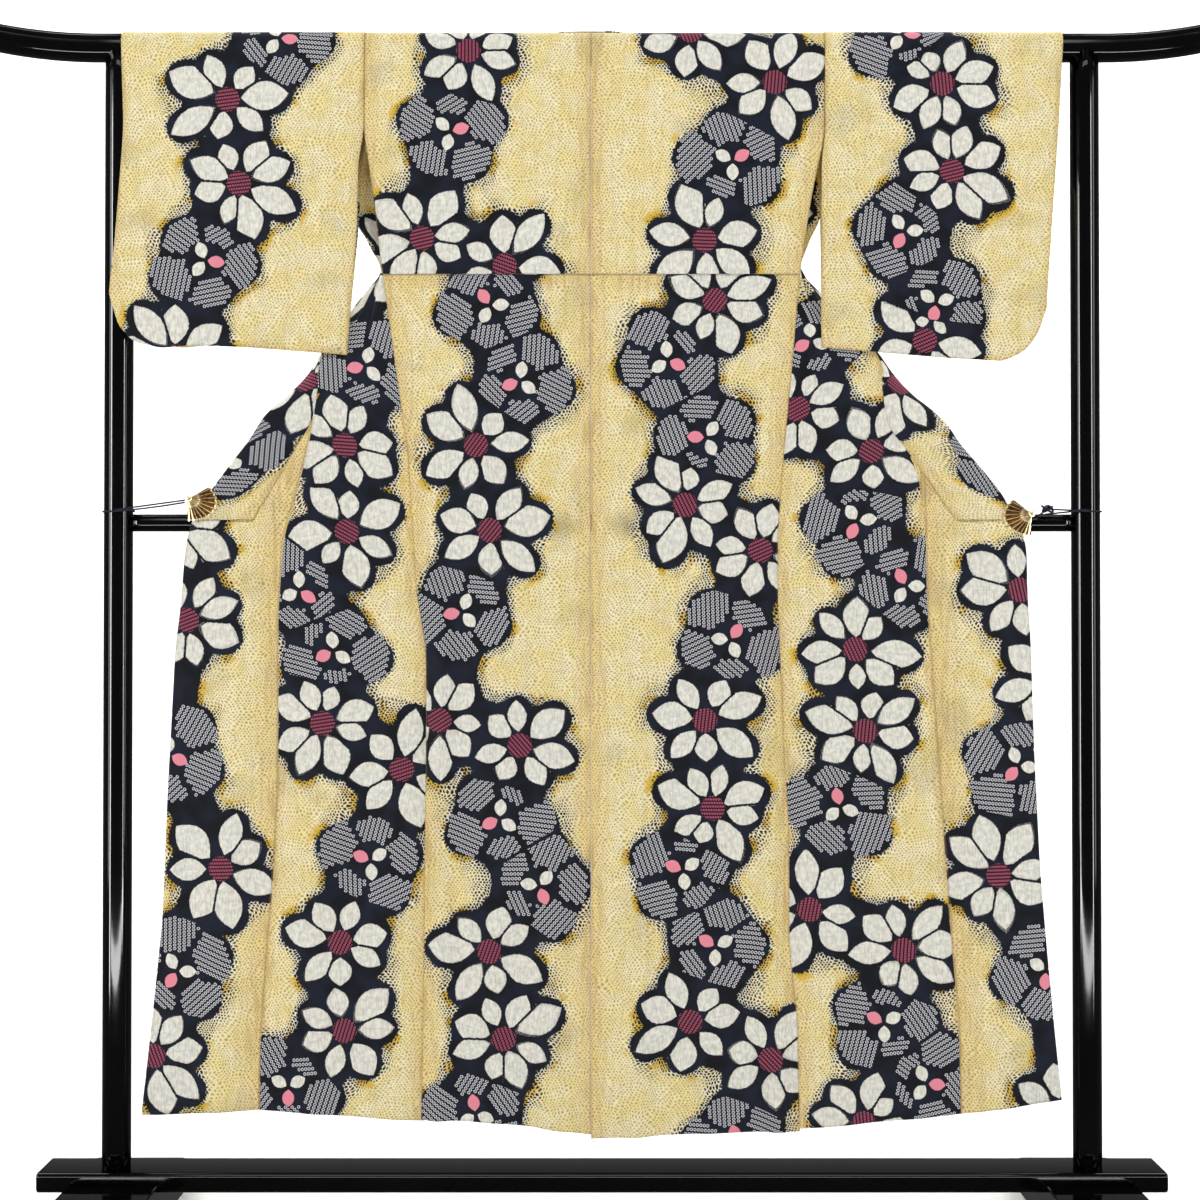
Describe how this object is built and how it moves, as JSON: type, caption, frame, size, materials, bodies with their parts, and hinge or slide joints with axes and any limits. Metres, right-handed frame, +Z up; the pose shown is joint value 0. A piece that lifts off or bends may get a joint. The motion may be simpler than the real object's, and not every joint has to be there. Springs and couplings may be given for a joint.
{
  "type": "shibori yukata on a kimono stand",
  "caption": "Shibori cotton yukata seen from its back, hung by the shoulders over the rod of a lacquered kimono stand, its fronts held open by fan clips.",
  "frame": {"origin": "on the floor, midway between the two feet and under the rod's middle", "axes": "+Z up, +X along the rod, +Y away from the side that shows the yukata's back"},
  "size_m": [1.8892, 0.42, 1.7765],
  "materials": {
    "shibori_cotton": "crinkled tie-dyed cotton, cream with a kanoko grain, navy vine and pale flowers",
    "black_lacquer": "glossy black lacquer on wood",
    "clip_brass": "pleated sheet brass, lightly toned",
    "tie_thread": "dark purple twisted thread"
  },
  "bodies": {
    "root": {"back_left": "shibori_cotton", "back_right": "shibori_cotton", "front_left": "shibori_cotton", "front_right": "shibori_cotton", "okumi_left": "shibori_cotton", "okumi_right": "shibori_cotton", "collar": "shibori_cotton", "sleeve_left": "shibori_cotton", "sleeve_right": "shibori_cotton", "rod": "black_lacquer", "post_left": "black_lacquer", "post_right": "black_lacquer", "crossbar": "black_lacquer", "base_beam": "black_lacquer", "foot_left": "black_lacquer", "foot_right": "black_lacquer", "clip_left": "clip_brass", "clip_right": "clip_brass", "thread_left": "tie_thread", "thread_right": "tie_thread"}
  },
  "joints": []
}
